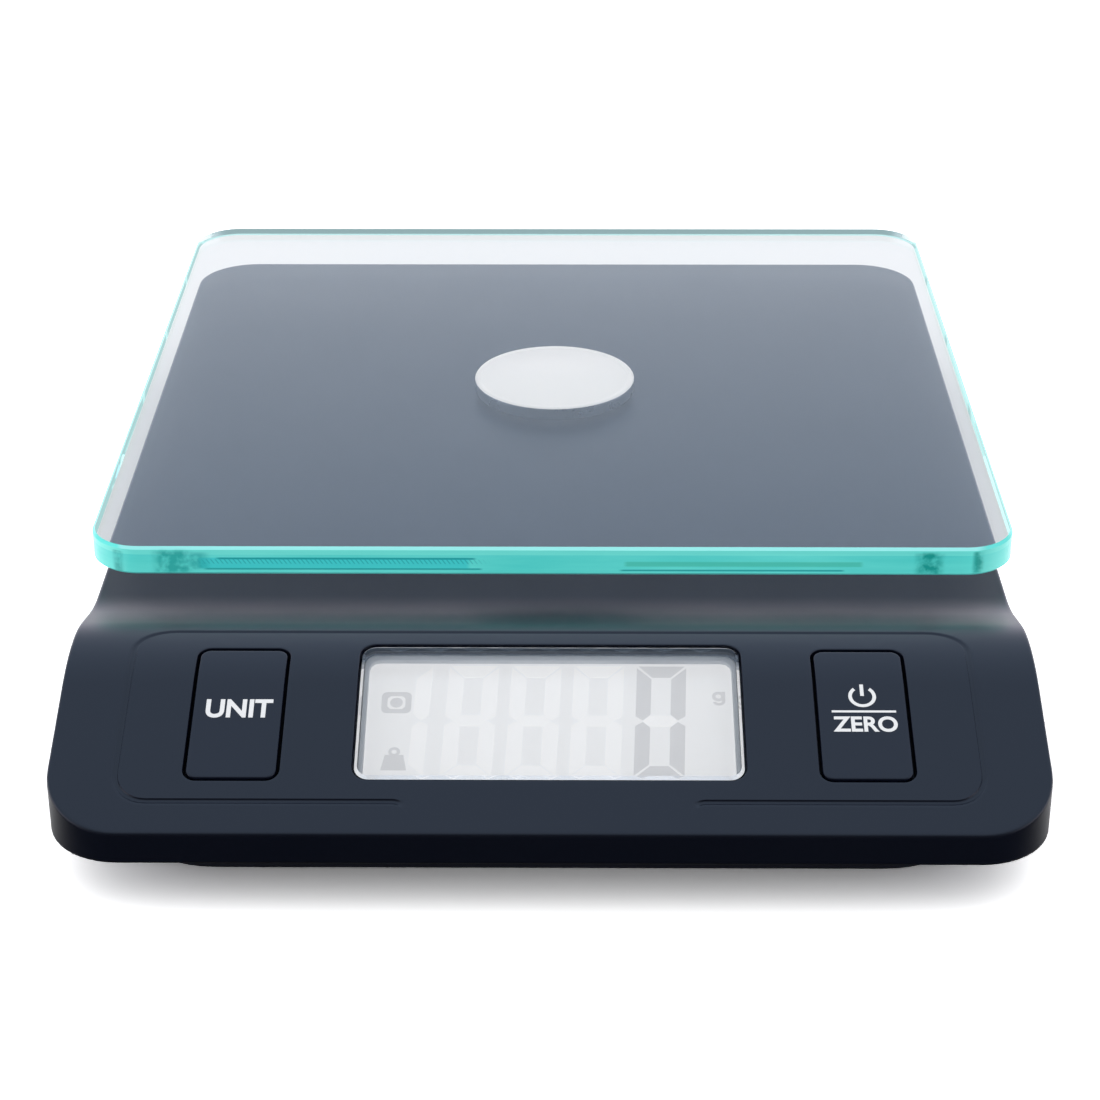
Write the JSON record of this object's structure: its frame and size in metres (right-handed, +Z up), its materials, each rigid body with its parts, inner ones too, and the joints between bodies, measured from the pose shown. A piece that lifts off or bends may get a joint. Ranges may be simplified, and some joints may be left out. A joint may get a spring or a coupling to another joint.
{
  "type": "digital gram scale",
  "caption": "Low digital gram scale: square glass weighing plate on a central hub, over a dark case whose sloping front panel holds a display window between flush keys.",
  "frame": {"origin": "on the surface the feet stand on, below the middle of the whole outline", "axes": "+X to the right seen from the control panel, +Y to the back, +Z up"},
  "size_m": [0.152, 0.2126, 0.03],
  "materials": {
    "black_plastic": "satin moulded ABS",
    "clear_glass": "polished tempered glass, green-blue edge",
    "aluminium": "fine machined",
    "zinc_steel": "zinc plated",
    "nickel_steel": "nickel plated spring steel",
    "white_silicone": "matt silicone",
    "clear_acrylic": "polished clear acrylic",
    "white_plastic": "satin",
    "display_cell": "polarised display cell",
    "circuit_board": "solder mask",
    "black_rubber": "matt",
    "battery_label": "printed sleeve, plain",
    "grey_cable": "cable sheath",
    "red_wire": "wire insulation",
    "black_wire": "wire insulation"
  },
  "bodies": {
    "case": {"top_cover": "black_plastic", "bottom_cover": "black_plastic", "display_lens": "clear_acrylic", "display_frame": "white_plastic", "lcd_glass": "display_cell", "backlight": "white_plastic", "zebra_strip": "white_silicone", "main_board": "circuit_board", "controller_blob": "black_plastic", "capacitor": "aluminium", "unit_switch_body": "black_plastic", "zero_switch_body": "black_plastic", "load_cell_beam": "aluminium", "battery_1": "battery_label", "battery_2": "battery_label", "battery_bridge": "nickel_steel", "battery_contact_plus": "nickel_steel", "battery_contact_minus": "nickel_steel", "battery_spring_1": "nickel_steel", "battery_spring_2": "nickel_steel", "load_cell_cable": "grey_cable", "battery_wire_plus": "red_wire", "battery_wire_minus": "black_wire", "board_screw_1": "zinc_steel", "case_screw_1": "zinc_steel", "foot_1": "black_rubber", "board_screw_2": "zinc_steel", "case_screw_2": "zinc_steel", "foot_2": "black_rubber", "board_screw_3": "zinc_steel", "case_screw_3": "zinc_steel", "foot_3": "black_rubber", "board_screw_4": "zinc_steel", "case_screw_4": "zinc_steel", "foot_4": "black_rubber", "gauge_pad_1": "white_silicone", "gauge_pad_2": "white_silicone", "gauge_pad_3": "white_silicone", "load_cell_screw_1": "zinc_steel", "load_cell_screw_2": "zinc_steel"},
    "platform": {"glass_platform": "clear_glass", "platform_disc": "aluminium", "platform_hub": "black_plastic", "load_plate": "zinc_steel", "load_shim": "zinc_steel", "load_plate_screw_1": "zinc_steel", "load_plate_screw_2": "zinc_steel", "hub_screw": "zinc_steel"},
    "unit_button": {"unit_key": "black_plastic", "unit_switch_stem": "white_plastic"},
    "zero_button": {"zero_key": "black_plastic", "zero_switch_stem": "white_plastic"},
    "door": {"battery_door": "black_plastic"}
  },
  "joints": [
    {"name": "platform_press", "type": "slide", "parent": "case", "child": "platform", "axis": [0, 0, -1], "range_m": [0, 0.0003], "stiffness_N_per_m": 20000, "springref_m": -0.00019},
    {"name": "unit_key_press", "type": "slide", "parent": "case", "child": "unit_button", "axis": [0, 0.3453, -0.9385], "range_m": [0, 0.0006], "stiffness_N_per_m": 2500, "springref_m": -0.0002},
    {"name": "zero_key_press", "type": "slide", "parent": "case", "child": "zero_button", "axis": [0, 0.3453, -0.9385], "range_m": [0, 0.0006], "stiffness_N_per_m": 2500, "springref_m": -0.0002},
    {"name": "door_slide", "type": "slide", "parent": "case", "child": "door", "axis": [0, 1, 0], "range_m": [0, 0.022]}
  ]
}
